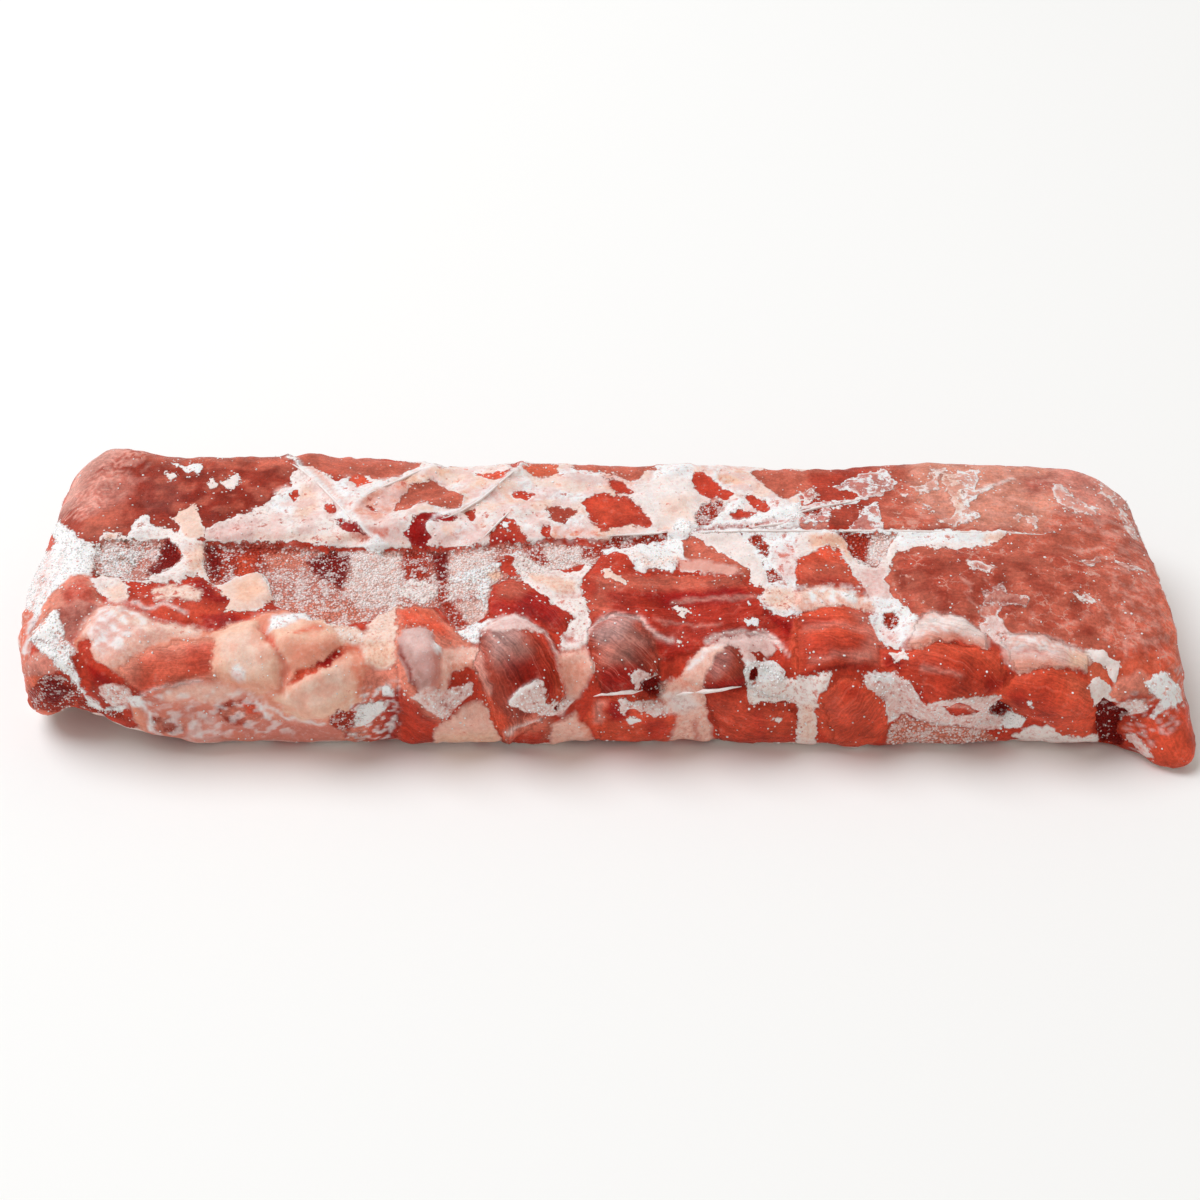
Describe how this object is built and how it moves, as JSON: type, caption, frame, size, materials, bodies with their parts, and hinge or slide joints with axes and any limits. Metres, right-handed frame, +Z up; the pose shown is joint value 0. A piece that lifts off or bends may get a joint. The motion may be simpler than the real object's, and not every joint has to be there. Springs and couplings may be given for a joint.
{
  "type": "pork back ribs",
  "caption": "Frozen raw slab of pork back ribs with rib ends down the front, loin meat, fat and silver skin.",
  "frame": {"origin": "middle of the slab's bounding box, on the flat underside that it rests on", "axes": "+X along the rack towards the loin end, +Y from the cut rib ends at the front to the back edge, +Z up"},
  "size_m": [0.4034, 0.1366, 0.0491],
  "materials": {
    "frozen_pork": "satin, with patches of white frost"
  },
  "bodies": {
    "root": {"rib_slab": "frozen_pork"}
  },
  "joints": []
}
